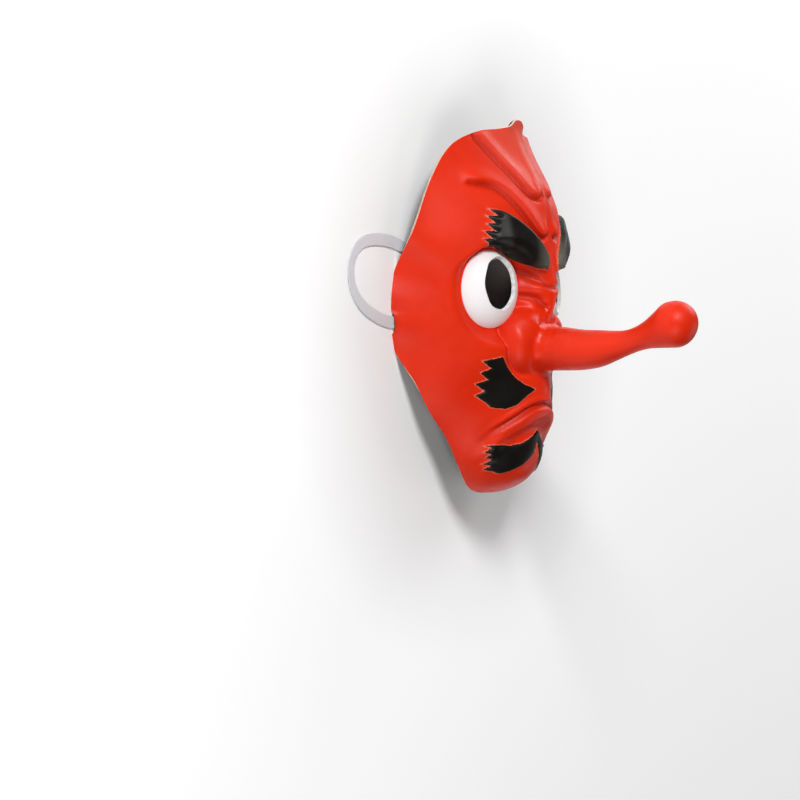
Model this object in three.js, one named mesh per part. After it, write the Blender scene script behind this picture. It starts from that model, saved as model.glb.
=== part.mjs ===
// A long-nosed tengu costume mask of moulded latex, lying face up on its rim, with its flat elastic strap.
// Millimetres. X runs to the wearer's left, Y to the top of the face, and Z the way the face looks.
// The origin is on the floor under the middle of the mask.
// Places on the face are pairs of shares: of the half width across, and of the half height up.
import * as THREE from "three";

// The mask as a whole
const WIDTH = 172;
const HEIGHT = 229.2;
const FACE_DEPTH = 55;
const WALL = 2.4;

// The rim from the chin to the peak of the forehead: share across, share up, and height above the floor
const RIM = [
  [0, -1, 17.2],
  [0.23, -0.972, 17.1],
  [0.42, -0.85, 18.4],
  [0.565, -0.7, 17],
  [0.735, -0.555, 13.2],
  [0.865, -0.4, 9.6],
  [0.92, -0.315, 4.6],
  [0.955, -0.235, 0],
  [0.985, -0.155, 0],
  [0.99, -0.135, 2],
  [1, -0.05, 2],
  [1, -0.03, 0],
  [0.995, 0.05, 0],
  [0.96, 0.17, 0],
  [0.945, 0.25, 3.6],
  [0.93, 0.4, 12.4],
  [0.775, 0.67, 17],
  [0.58, 0.85, 21],
  [0.33, 0.934, 28.4],
  [0.17, 0.95, 35],
  [0.095, 0.965, 40],
  [0.045, 0.994, 41],
  [0, 1, 41],
];
const FLAT_CUT_HEIGHT = 6;

// The face follows the rim's height and reach evened out over the broad length. What differs over the fine
// length, and what is left, die away from the rim with these powers.
const BROAD_EVENNESS = 22;
const FINE_EVENNESS = 9;
const BROAD_DETAIL_POWER = 13;
const FINE_DETAIL_POWER = 60;
const REACH_DETAIL_POWER = 5;

// How the face falls from its middle to the rim, towards the side, the top and the chin
const FALL_SIDE = { power: 2.1, bend: 1 };
const FALL_TOP = { power: 2.9, bend: 1.2 };
const FALL_CHIN = { power: 4.6, bend: 0.5 };

// The eyes: where each one's middle lies, how far it turns outward, its half sizes and its bulge
const EYE = { across: 0.42, up: 0.09, depth: 40.3, turn: 27, halfWidth: 21, halfHeight: 24.3, bulge: 11 };
const SOCKET_REACH = 1.55;
const SOCKET_REACH_TOP = 1.24;
const PUPIL = { inward: 3, up: 3, halfWidth: 12, halfHeight: 16.5 };
const EYE_SNAP = 0.12;
const CLOSE_TO_EYE = 1.4;

// The nose: where its root lies, the fillet round it, and stations of reach, height and radius
const NOSE_UP = -0.227;
const NOSE_FILLET = 5;
const NOSE_REACH = 163;
const NOSE_TIP_UP = -0.09;
const NOSE_STATIONS = [
  [0.445, -0.227, 13.4],
  [0.53, -0.233, 12.4],
  [0.605, -0.227, 11.2],
  [0.663, -0.214, 9.3],
  [0.713, -0.198, 7.9],
  [0.764, -0.173, 7.9],
  [0.804, -0.15, 9.2],
  [0.846, -0.124, 11.8],
  [0.876, -0.107, 13.7],
  [0.915, -0.101, 14.3],
  [0.96, -0.095, 11.6],
  [0.988, -0.092, 6.8],
];
const NOSE_CUP = { radius: 9.5, reach: 76 };

// The broad forms of the plain face: height, then place and half size as shares across and up
const SWELLINGS = {
  browRidge: [9, 0, 0.36, 0.62, 0.3],
  forehead: [7.5, 0, 0.64, 0.34, 0.22],
  innerBrow: [2.5, 0.3, 0.25, 0.18, 0.12],
  bridge: [9, 0, 0.04, 0.11, 0.2],
  cheek: [3, 0.46, -0.22, 0.22, 0.16],
  cheekHollow: [-3, 0.44, -0.42, 0.16, 0.12],
  muzzle: [6, 0, -0.44, 0.16, 0.13],
  lipFold: [-5.5, 0.28, -0.7, 0.17, 0.09],
  chin: [6, 0, -0.94, 0.22, 0.08],
};

// The carving, in millimetres of relief and of width along the face
const BROW_RELIEF = 5.2;
const TUFT_RELIEF = 1.1;
const FURROW_DEPTH = 2.2;
const FURROW_WIDTH = 4;
const PLATE_RELIEF = 2.6;
const PLATE_WIDTH = 7;
const LIP_RELIEF = 4;
const LIP_WIDTH = 15;
const LIP_END = 0.37;
const WING_RELIEF = 7.5;
const EDGE_SOFTNESS = 4.5;

// The strap: its width and thickness, and the middle of its route. It leaves the inside of the right temple,
// goes out under the rim's notch, lies in one loop on the floor and comes back under the brow side of the rim
// to the inside of the left temple, where it folds up against the wall.
const STRAP_WIDTH = 7.5;
const STRAP_THICKNESS = 1;
const STRAP_CORNER = 0.3;
const STRAP_STEPS = 76;
const STRAP_ROUTE = [
  [-74, -10.6, 8.9],
  [-76.6, -10.6, 5.8],
  [-78.6, -10.6, 3.3],
  [-80.1, -10.6, 1.4],
  [-81.8, -10.6, 0.66],
  [-84, -10.6, 0.62],
  [-89, -10.4, 0.62],
  [-97, -9.2, 0.62],
  [-107, -6.6, 0.62],
  [-117, -3, 0.62],
  [-126, 2.6, 0.62],
  [-132.5, 10.5, 0.62],
  [-134.5, 20, 0.62],
  [-131, 29.5, 0.62],
  [-123, 36, 0.62],
  [-112, 38.8, 0.62],
  [-100, 39.2, 0.62],
  [-90, 38.6, 0.62],
  [-80, 37, 0.62],
  [-64, 33.4, 0.62],
  [-44, 28, 0.62],
  [-24, 21.4, 0.62],
  [-4, 14, 0.62],
  [16, 6.2, 0.62],
  [36, -1.6, 0.62],
  [54, -7.4, 0.62],
  [66, -10.1, 0.62],
  [75, -10.6, 0.62],
  [78.2, -10.6, 1.1],
  [79.3, -10.6, 2.5],
  [78.6, -10.6, 3.9],
  [76.7, -10.6, 6],
  [74.1, -10.6, 9.1],
];

// How finely the solids are faceted
const COLUMN_SPACING = 9.4;
const FACE_ROWS = 23;
const FILLET_ROWS = 3;
const CUP_ROWS = 3;

const HALF_WIDTH = WIDTH / 2;
const HALF_HEIGHT = HEIGHT / 2;
const NOSE_Y = NOSE_UP * HALF_HEIGHT;
const NOSE_ROOT_RADIUS = NOSE_STATIONS[0][2];
const FACE_START = NOSE_ROOT_RADIUS + NOSE_FILLET;
const TURN = THREE.MathUtils.degToRad(EYE.turn);
const EYE_X = EYE.across * HALF_WIDTH;
const EYE_Y = EYE.up * HALF_HEIGHT;

const place = (across, up) => new THREE.Vector2(across * HALF_WIDTH, up * HALF_HEIGHT);
const mix = THREE.MathUtils.lerp;

// Rises smoothly from nothing at the first value to one at the second, which may be the lower of the two
function smooth(from, to, value) {
  const share = THREE.MathUtils.clamp((value - from) / (to - from), 0, 1);
  return share * share * (3 - 2 * share);
}

// A round-topped bump of height one, with its place and half sizes as shares. A higher power steepens it.
function bump(x, y, across, up, halfAcross, halfUp, power = 1) {
  const a = (x / HALF_WIDTH - across) / halfAcross;
  const b = (y / HALF_HEIGHT - up) / halfUp;
  return Math.exp(-((a * a + b * b) ** power));
}

// The points between two corners of a tuft's frayed end: each tooth reaches out and is drawn back
function frayedEnd(from, to, teeth, reach, notch) {
  const along = to.clone().sub(from);
  const out = new THREE.Vector2(along.y, -along.x).normalize();
  const points = [];
  for (let i = 0; i < teeth; i += 1) {
    points.push(from.clone().addScaledVector(along, i / teeth).addScaledVector(out, -notch));
    points.push(from.clone().addScaledVector(along, (i + 0.62) / teeth).addScaledVector(out, reach));
  }
  return points;
}

// How far a point lies inside a closed outline, negative outside
function depthInside(outline, x, y) {
  let nearest = Infinity;
  let inside = false;
  for (let i = 0, j = outline.length - 1; i < outline.length; j = i, i += 1) {
    const a = outline[j];
    const b = outline[i];
    const run = (x - a.x) * (b.x - a.x) + (y - a.y) * (b.y - a.y);
    const share = THREE.MathUtils.clamp(run / a.distanceToSquared(b), 0, 1);
    nearest = Math.min(nearest, Math.hypot(x - mix(a.x, b.x, share), y - mix(a.y, b.y, share)));
    if (a.y > y !== b.y > y && x < a.x + ((y - a.y) / (b.y - a.y)) * (b.x - a.x)) inside = !inside;
  }
  return inside ? nearest : -nearest;
}

// How far a point lies from an open line
function distanceTo(line, x, y) {
  let nearest = Infinity;
  for (let i = 1; i < line.length; i += 1) {
    const a = line[i - 1];
    const b = line[i];
    const run = (x - a.x) * (b.x - a.x) + (y - a.y) * (b.y - a.y);
    const share = THREE.MathUtils.clamp(run / a.distanceToSquared(b), 0, 1);
    nearest = Math.min(nearest, Math.hypot(x - mix(a.x, b.x, share), y - mix(a.y, b.y, share)));
  }
  return nearest;
}

const BROW = [
  place(0.14, 0.204),
  place(0.216, 0.232),
  place(0.28, 0.262),
  place(0.345, 0.3),
  place(0.43, 0.322),
  ...frayedEnd(place(0.53, 0.318), place(0.435, 0.52), 4, 3.2, 2.4),
  place(0.395, 0.5),
  place(0.31, 0.462),
  place(0.22, 0.4),
  place(0.13, 0.33),
  place(0.075, 0.275),
  place(0.06, 0.225),
  place(0.078, 0.192),
];

const MOUSTACHE = [
  place(0.115, -0.443),
  place(0.175, -0.475),
  place(0.25, -0.525),
  place(0.328, -0.549),
  place(0.417, -0.54),
  ...frayedEnd(place(0.47, -0.515), place(0.465, -0.272), 3, 4.2, 2),
  place(0.393, -0.272),
  place(0.335, -0.325),
  place(0.262, -0.385),
  place(0.2, -0.418),
];

const CHIN_TUFT = [
  place(0.07, -0.78),
  place(0.111, -0.836),
  place(0.184, -0.88),
  place(0.24, -0.893),
  ...frayedEnd(place(0.3, -0.885), place(0.38, -0.725), 3, 2.2, 1.8),
  place(0.36, -0.737),
  place(0.228, -0.745),
  place(0.146, -0.732),
  place(0.05, -0.69),
];

// The frown's two furrows on each side, from the temple in to the middle of the forehead
const FURROWS = [
  [place(0.38, 0.915), place(0.255, 0.745), place(0.185, 0.635), place(0.14, 0.588), place(0.04, 0.58)],
  [place(0.54, 0.652), place(0.36, 0.615), place(0.25, 0.501), place(0.15, 0.39), place(0.046, 0.37)],
];

const MOUTH = [
  place(-0.12, -0.54),
  place(0, -0.525),
  place(0.12, -0.54),
  place(0.23, -0.59),
  place(0.33, -0.648),
  place(0.42, -0.712),
];

// The broad height that the moulding adds to the plain dome
function swelling(x, y) {
  const heights = Object.values(SWELLINGS).map(([height, ...form]) => height * bump(Math.abs(x), y, ...form));
  return heights.reduce((sum, height) => sum + height, 0);
}

// How far a point lies above a line that runs across the face, negative below
function heightOver(line, x, y) {
  const order = line[0].x < line.at(-1).x ? line : [...line].reverse();
  const next = Math.max(1, order.findIndex((p) => p.x > x));
  const [a, b] = x > order.at(-1).x ? order.slice(-2) : [order[next - 1], order[next]];
  const level = mix(a.y, b.y, THREE.MathUtils.clamp((x - a.x) / (b.x - a.x), 0, 1));
  return (y > level ? 1 : -1) * distanceTo(line, x, y);
}

// A furrow, and the plate of skin that rolls over it from above
function furrowRelief(line, side, y) {
  const above = heightOver(line, side, y);
  const roll = Math.exp(-((Math.max(0, above - 1.5) / PLATE_WIDTH) ** 2)) * smooth(-3, 3, above);
  const groove = Math.exp(-((above / FURROW_WIDTH) ** 2));
  return smooth(0.62, 0.45, side / HALF_WIDTH) * (PLATE_RELIEF * roll - FURROW_DEPTH * groove);
}

// A shut frowning mouth: a crease, a thin upper lip and a full lower lip
function mouthRelief(side, y) {
  const below = -heightOver(MOUTH, side, y);
  const lower = smooth(-2.5, 3, below) * smooth(LIP_WIDTH, LIP_WIDTH / 3, below);
  const upper = 0.4 * Math.exp(-(((below + 3.4) / 2) ** 2));
  return LIP_RELIEF * (lower + upper) * smooth(LIP_END + 0.06, LIP_END - 0.08, side / HALF_WIDTH);
}

// The finer carving, along the surface's own normal. It stops at the eyes' edges.
function relief(x, y) {
  const side = Math.abs(x);
  if (eyeShare(side, y) <= 1) return 0;
  const raised = (outline, height) =>
    height * smooth(-EDGE_SOFTNESS / 2, EDGE_SOFTNESS, depthInside(outline, side, y));
  return (
    raised(BROW, BROW_RELIEF) +
    raised(MOUSTACHE, TUFT_RELIEF) +
    raised(CHIN_TUFT, TUFT_RELIEF) +
    FURROWS.reduce((sum, line) => sum + furrowRelief(line, side, y), 0) +
    mouthRelief(side, y) +
    WING_RELIEF * bump(side, y, 0.19, -0.19, 0.155, 0.15, 2)
  );
}

// The rim's points from the chin up its left side to the peak, with one at each named point
function halfRim() {
  const half = RIM.map(([across, up, z]) => new THREE.Vector3(across * HALF_WIDTH, up * HALF_HEIGHT, z));
  const mirrored = half.slice(1, -1).reverse().map((p) => new THREE.Vector3(-p.x, p.y, p.z));
  const loop = new THREE.CatmullRomCurve3([...half, ...mirrored], true, "centripetal");
  const spans = 2 * RIM.length - 2;
  const points = [];
  for (let k = 0; k < RIM.length - 1; k += 1) {
    const steps = Math.max(1, Math.round(half[k].distanceTo(half[k + 1]) / COLUMN_SPACING));
    for (let m = 0; m < steps; m += 1) points.push(loop.getPoint((k + m / steps) / spans));
  }
  points.push(half.at(-1));
  for (const point of points) point.z = Math.max(0, point.z);
  return points;
}

// The columns run from the nose out to the rim's points, from the chin round to the peak and back
function makeColumns() {
  const half = halfRim();
  const mirrored = half.slice(1, -1).reverse().map((p) => new THREE.Vector3(-p.x, p.y, p.z));
  const columns = [];
  for (const { x, y, z } of [...half, ...mirrored]) {
    const reach = Math.hypot(x, y - NOSE_Y);
    const lift = (y - NOSE_Y) / reach;
    const top = lift > 0 ? lift ** 4 : 0;
    const chin = lift < 0 ? lift ** 4 : 0;
    const side = 1 - top - chin;
    const blend = (key) => FALL_SIDE[key] * side + FALL_TOP[key] * top + FALL_CHIN[key] * chin;
    const aim = new THREE.Vector2(x / reach, lift);
    const rim = new THREE.Vector3(x, y, z);
    columns.push({ rim, reach, aim, side, power: blend("power"), bend: blend("bend") });
  }
  const broad = evenedOut(columns, BROAD_EVENNESS, (column) => column.rim.z);
  const fine = evenedOut(columns, FINE_EVENNESS, (column) => column.rim.z);
  const reaches = evenedOut(columns, BROAD_EVENNESS, (column) => column.reach);
  columns.forEach((column, i) => {
    column.broad = broad[i];
    column.fine = fine[i];
    column.evenReach = mix(column.reach, reaches[i], column.side);
  });
  return columns;
}

// A value of the columns, averaged over a length of the rim on both sides of each
function evenedOut(columns, length, value) {
  const count = columns.length;
  const runs = columns.map((column, i) => column.rim.distanceTo(columns[(i + 1) % count].rim));
  return columns.map((_, i) => {
    let total = 0;
    let weight = 0;
    for (const step of [1, -1]) {
      let away = 0;
      for (let k = i; away < 3 * length; k = (k + step + count) % count) {
        const span = (runs[k] + runs[(k + count - 1) % count]) / 2;
        const share = Math.exp(-((away / length) ** 2)) * span;
        total += share * value(columns[k]);
        weight += share;
        away += step > 0 ? runs[k] : runs[(k + count - 1) % count];
      }
    }
    return total / weight;
  });
}

const columns = makeColumns();
const COLUMNS = columns.length;

// A point of the eye's own plane, in millimetres towards the nose's far side and up from the eye's middle
const eyeAlong = (side) => (side - EYE_X) / Math.cos(TURN);
const eyeShare = (side, y) => Math.hypot(eyeAlong(side) / EYE.halfWidth, (y - EYE_Y) / EYE.halfHeight);
const pupilShare = (side, y) =>
  Math.hypot((eyeAlong(side) + PUPIL.inward) / PUPIL.halfWidth, (y - EYE_Y - PUPIL.up) / PUPIL.halfHeight);

// The face without its relief, at a place that lies in a column's direction
function facePoint(column, x, y) {
  const away = Math.hypot(x, y - NOSE_Y);
  const share = Math.min(1, away / column.reach);
  const evened = mix(column.evenReach, column.reach, share ** REACH_DETAIL_POWER);
  const fall = (1 - Math.min(1, away / evened) ** column.power) ** column.bend;
  const { rim, broad, fine } = column;
  const detail = (fine - broad) * share ** BROAD_DETAIL_POWER + (rim.z - fine) * share ** FINE_DETAIL_POWER;
  const dome = broad + (FACE_DEPTH - broad) * fall + detail;
  const side = Math.abs(x);
  const face = dome + swelling(x, y) * (1 - share ** 6);
  const near = eyeShare(side, y);
  const lift = (y - EYE_Y) / EYE.halfHeight / Math.max(near, 1e-6);
  const socket = mix(SOCKET_REACH, SOCKET_REACH_TOP, smooth(0.2, 0.9, lift));
  const plane = EYE.depth - (side - EYE_X) * Math.tan(TURN);
  const point = new THREE.Vector3(x, y, mix(face, plane, 1 - smooth(1, socket, near)));
  if (near < 1) {
    const bulge = EYE.bulge * (1 - near * near) ** 0.75;
    point.x += Math.sign(x) * Math.sin(TURN) * bulge;
    point.z += Math.cos(TURN) * bulge;
  }
  return point;
}

// Where the column's row lies on the plain face, before an eye or the relief moves it
function flatPlace(column, row) {
  const reach = mix(FACE_START, column.reach, 1 - (1 - row / FACE_ROWS) ** 1.25);
  return new THREE.Vector2(column.aim.x * reach, NOSE_Y + column.aim.y * reach);
}

// Draws a place that lies close to an eye's edge straight onto it
function ontoEye(spot) {
  const side = Math.abs(spot.x);
  const share = eyeShare(side, spot.y);
  if (Math.abs(share - 1) > EYE_SNAP) return;
  spot.x = Math.sign(spot.x) * (EYE_X + (side - EYE_X) / share);
  spot.y = EYE_Y + (spot.y - EYE_Y) / share;
}

// A cell is part of a pupil's hole when its middle lies inside the pupil
function openCells(places) {
  const open = new Set();
  for (let i = 0; i < COLUMNS; i += 1) {
    for (let j = 0; j < FACE_ROWS; j += 1) {
      const next = places[(i + 1) % COLUMNS];
      const corners = [places[i][j], places[i][j + 1], next[j], next[j + 1]];
      const x = corners.reduce((sum, p) => sum + p.x, 0) / 4;
      const y = corners.reduce((sum, p) => sum + p.y, 0) / 4;
      if (pupilShare(Math.abs(x), y) < 1) open.add(i * FACE_ROWS + j);
    }
  }
  return open;
}

// Moves a place straight from the pupil's middle onto its edge
function ontoPupil(spot) {
  const side = Math.abs(spot.x);
  const share = pupilShare(side, spot.y);
  const along = (eyeAlong(side) + PUPIL.inward) / share - PUPIL.inward;
  spot.x = Math.sign(spot.x) * (EYE_X + along * Math.cos(TURN));
  spot.y = EYE_Y + PUPIL.up + (spot.y - EYE_Y - PUPIL.up) / share;
}

// The cells of the face's grid, with the pupils left open, and the edges round those openings
function faceCells(open) {
  const cells = [];
  const edges = [];
  const at = (i, j) => ((i + COLUMNS) % COLUMNS) * (FACE_ROWS + 1) + j;
  const isOpen = (i, j) => open.has(((i + COLUMNS) % COLUMNS) * FACE_ROWS + j);
  for (let i = 0; i < COLUMNS; i += 1) {
    for (let j = 0; j < FACE_ROWS; j += 1) {
      if (isOpen(i, j)) {
        if (!isOpen(i - 1, j)) edges.push([at(i, j), at(i, j + 1)]);
        if (!isOpen(i + 1, j)) edges.push([at(i + 1, j + 1), at(i + 1, j)]);
        if (!isOpen(i, j - 1)) edges.push([at(i + 1, j), at(i, j)]);
        if (!isOpen(i, j + 1)) edges.push([at(i, j + 1), at(i + 1, j + 1)]);
      } else {
        cells.push([at(i, j), at(i, j + 1), at(i + 1, j + 1), at(i + 1, j)]);
      }
    }
  }
  return { cells, edges };
}

// Splits a cell into two triangles, and close to an eye along the shorter of its diagonals
function triangulate([a, b, c, d], points) {
  const close = eyeShare(Math.abs(points[a].x), points[a].y) < CLOSE_TO_EYE;
  const other = close && points[a].distanceTo(points[c]) > points[b].distanceTo(points[d]);
  return other ? [[a, b, d], [b, c, d]] : [[a, b, c], [a, c, d]];
}

// The average direction that the faces round each point look in
function pointNormals(points, triangles) {
  const normals = points.map(() => new THREE.Vector3());
  for (const [a, b, c] of triangles) {
    const ab = points[b].clone().sub(points[a]);
    const ac = points[c].clone().sub(points[a]);
    const normal = ab.cross(ac);
    for (const k of [a, b, c]) normals[k].add(normal);
  }
  return normals.map((n) => n.normalize());
}

// The face is creased at an eye's edge, so there the wall and the relief stand square to the eye's plane
function steadied(normal, spot) {
  const near = eyeShare(Math.abs(spot.x), spot.y);
  const share = smooth(0.7, 0.95, near) * smooth(1.4, 1.1, near);
  const square = new THREE.Vector3(Math.sign(spot.x) * Math.sin(TURN), 0, Math.cos(TURN));
  return normal.clone().lerp(square, share).normalize();
}

// The inner edge of the rim: cut square through the wall, and level where the rim lies on the floor
function innerRimPoint(outer, normal) {
  const square = outer.clone().addScaledVector(normal, -WALL);
  const sideways = Math.hypot(normal.x, normal.y);
  const level = outer.clone();
  level.x -= (normal.x / sideways) * (WALL / sideways);
  level.y -= (normal.y / sideways) * (WALL / sideways);
  return square.lerp(level, 1 - smooth(0, FLAT_CUT_HEIGHT, outer.z));
}

// The nose's rings, from the fillet at the face out to the last ring before the tip. Those on its shaft have
// a point on every second column.
function noseRings() {
  const rings = [];
  for (let k = 1; k <= FILLET_ROWS; k += 1) {
    const angle = ((k / FILLET_ROWS) * Math.PI) / 2;
    const radius = FACE_START - NOSE_FILLET * Math.sin(angle);
    rings.push(
      columns.map((column) => {
        const x = column.aim.x * radius;
        const y = NOSE_Y + column.aim.y * radius;
        const point = facePoint(column, x, y);
        point.z += relief(x, y) + NOSE_FILLET * (1 - Math.cos(angle));
        return point;
      }),
    );
  }
  for (const [reach, up, radius] of NOSE_STATIONS) {
    const middle = new THREE.Vector3(0, up * HALF_HEIGHT, reach * NOSE_REACH);
    const shaft = columns.filter((_, i) => i % 2 === 0);
    rings.push(shaft.map(({ aim }) => new THREE.Vector3(aim.x, aim.y, 0).multiplyScalar(radius).add(middle)));
  }
  return rings;
}

function makeShell() {
  const rows = Array.from({ length: FACE_ROWS + 1 }, (_, row) => row);
  const places = columns.map((column) => rows.map((row) => flatPlace(column, row)));
  for (const spot of places.flat()) ontoEye(spot);
  const open = openCells(places);
  const { cells, edges } = faceCells(open);
  const holeEdge = new Set(edges.flat());
  for (const k of holeEdge) ontoPupil(places[Math.floor(k / (FACE_ROWS + 1))][k % (FACE_ROWS + 1)]);

  const plain = places.flatMap((column, i) => column.map((spot) => facePoint(columns[i], spot.x, spot.y)));
  const triangles = cells.flatMap((cell) => triangulate(cell, plain));
  const spots = places.flat();
  const normals = pointNormals(plain, triangles).map((normal, k) => steadied(normal, spots[k]));
  const isRim = (k) => k % (FACE_ROWS + 1) === FACE_ROWS;
  const outer = plain.map((p, k) =>
    isRim(k) ? p.clone() : p.clone().addScaledVector(normals[k], relief(spots[k].x, spots[k].y)),
  );
  const inner = plain.map((p, k) =>
    isRim(k) ? innerRimPoint(p, normals[k]) : p.clone().addScaledVector(normals[k], -WALL),
  );

  const used = new Set(triangles.flat());
  const positions = [];
  const index = [];
  const outerAt = new Map();
  const innerAt = new Map();
  const keep = (point) => positions.push(point) - 1;
  for (const k of used) {
    outerAt.set(k, keep(outer[k]));
    innerAt.set(k, keep(inner[k]));
  }
  for (const [a, b, c] of triangles) {
    index.push(outerAt.get(a), outerAt.get(b), outerAt.get(c));
    index.push(innerAt.get(a), innerAt.get(c), innerAt.get(b));
  }
  for (const [a, b] of edges) {
    index.push(outerAt.get(a), outerAt.get(b), innerAt.get(b));
    index.push(outerAt.get(a), innerAt.get(b), innerAt.get(a));
  }

  const at = (i, j) => (i % COLUMNS) * (FACE_ROWS + 1) + j;
  for (let i = 0; i < COLUMNS; i += 1) {
    const a = at(i, FACE_ROWS);
    const b = at(i + 1, FACE_ROWS);
    index.push(outerAt.get(a), innerAt.get(a), innerAt.get(b));
    index.push(outerAt.get(a), innerAt.get(b), outerAt.get(b));
  }

  // Rings of points that close a surface towards one last point, facing out or in. A ring has as many points
  // as the one before it, or half as many.
  const closeWith = (startRing, rings, tip, facesOut) => {
    let last = startRing;
    const side = (a, b, c) => (facesOut ? index.push(a, b, c) : index.push(a, c, b));
    for (const ring of rings) {
      const next = ring.map(keep);
      const each = last.length / next.length;
      for (let i = 0; i < next.length; i += 1) {
        const n = (i + 1) % next.length;
        const stretch = Array.from({ length: each + 1 }, (_, k) => last[(i * each + k) % last.length]);
        side(next[i], stretch[0], stretch[1]);
        if (each === 2) side(next[n], stretch[1], stretch[2]);
        side(next[i], stretch[1], next[n]);
      }
      last = next;
    }
    const end = keep(tip);
    for (let i = 0; i < last.length; i += 1) side(end, last[i], last[(i + 1) % last.length]);
  };
  const outerStart = columns.map((_, i) => outerAt.get(at(i, 0)));
  closeWith(outerStart, noseRings(), new THREE.Vector3(0, NOSE_TIP_UP * HALF_HEIGHT, NOSE_REACH), true);

  // The hollow behind the nose, where the wearer's own nose goes
  const cup = [];
  const innerStart = columns.map((_, i) => innerAt.get(at(i, 0)));
  for (let k = 1; k <= CUP_ROWS; k += 1) {
    const share = k / CUP_ROWS;
    const radius = mix(FACE_START, NOSE_CUP.radius, Math.min(1, share * 1.5));
    cup.push(
      columns.map((column, i) => {
        const z = mix(positions[innerStart[i]].z, NOSE_CUP.reach - 2, share ** 1.6);
        return new THREE.Vector3(column.aim.x * radius, NOSE_Y + column.aim.y * radius, z);
      }),
    );
  }
  closeWith(innerStart, cup, new THREE.Vector3(0, NOSE_Y, NOSE_CUP.reach), false);

  const geometry = new THREE.BufferGeometry();
  const coordinates = positions.flatMap((p) => p.toArray());
  geometry.setAttribute("position", new THREE.Float32BufferAttribute(coordinates, 3));
  geometry.setIndex(index);
  geometry.computeVertexNormals();
  return geometry;
}

// A flat band with small cut corners, swept along its route
function makeStrap() {
  const x = STRAP_WIDTH / 2;
  const y = STRAP_THICKNESS / 2;
  const cut = STRAP_CORNER;
  const section = new THREE.Shape([
    new THREE.Vector2(-x + cut, -y),
    new THREE.Vector2(x - cut, -y),
    new THREE.Vector2(x, -y + cut),
    new THREE.Vector2(x, y - cut),
    new THREE.Vector2(x - cut, y),
    new THREE.Vector2(-x + cut, y),
    new THREE.Vector2(-x, y - cut),
    new THREE.Vector2(-x, -y + cut),
  ]);
  const route = new THREE.CatmullRomCurve3(STRAP_ROUTE.map((p) => new THREE.Vector3(...p)));
  return new THREE.ExtrudeGeometry(section, { steps: STRAP_STEPS, extrudePath: route, bevelEnabled: false });
}

const latex = new THREE.MeshStandardMaterial({ color: 0xdc3a24, roughness: 0.42, metalness: 0 });
const mask = new THREE.Mesh(makeShell(), latex);
mask.name = "mask_shell";

const elastic = new THREE.MeshStandardMaterial({ color: 0xe6e4e8, roughness: 0.85, metalness: 0 });
const strap = new THREE.Mesh(makeStrap(), elastic);
strap.name = "elastic_strap";

const group = new THREE.Group();
group.add(mask, strap);
export default group;
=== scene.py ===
"""A long-nosed red tengu mask of moulded latex, lying face up on its rim, with its flat elastic strap."""
import math

import bmesh
import bpy
import numpy as np
from mathutils import Matrix, Vector


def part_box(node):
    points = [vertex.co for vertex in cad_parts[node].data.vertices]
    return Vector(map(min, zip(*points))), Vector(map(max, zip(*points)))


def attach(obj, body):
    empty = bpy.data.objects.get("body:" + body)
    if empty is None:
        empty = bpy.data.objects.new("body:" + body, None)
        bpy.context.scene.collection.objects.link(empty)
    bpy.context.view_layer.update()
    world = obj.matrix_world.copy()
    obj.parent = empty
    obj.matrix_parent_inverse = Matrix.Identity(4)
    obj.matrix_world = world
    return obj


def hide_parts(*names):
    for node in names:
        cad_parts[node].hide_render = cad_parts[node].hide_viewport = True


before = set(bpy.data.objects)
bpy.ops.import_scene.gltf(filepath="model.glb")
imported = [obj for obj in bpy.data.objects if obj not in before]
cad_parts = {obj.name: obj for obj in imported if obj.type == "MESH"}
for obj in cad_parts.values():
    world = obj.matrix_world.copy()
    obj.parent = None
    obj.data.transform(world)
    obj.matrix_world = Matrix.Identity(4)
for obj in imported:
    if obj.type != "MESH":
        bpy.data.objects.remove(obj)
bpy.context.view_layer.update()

# The shell is worked out in millimetres and scaled once
MM = 0.001
HALF_WIDTH, HALF_HEIGHT, NOSE_REACH = np.array(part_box("mask_shell")[1]) / MM
SHARES = np.array([HALF_WIDTH, HALF_HEIGHT])

# The view: 60 degrees round to the wearer's right, level with the face, with the face's top up in the picture
VIEW_TURN = math.radians(60)
VIEW_SPAN = 0.4864
VIEW_DISTANCE = 3.0
SENSOR = 0.036
AIM_RIGHT = -0.0375
AIM_UP = -0.0575
AIM_NEAR = 0.060

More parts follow.
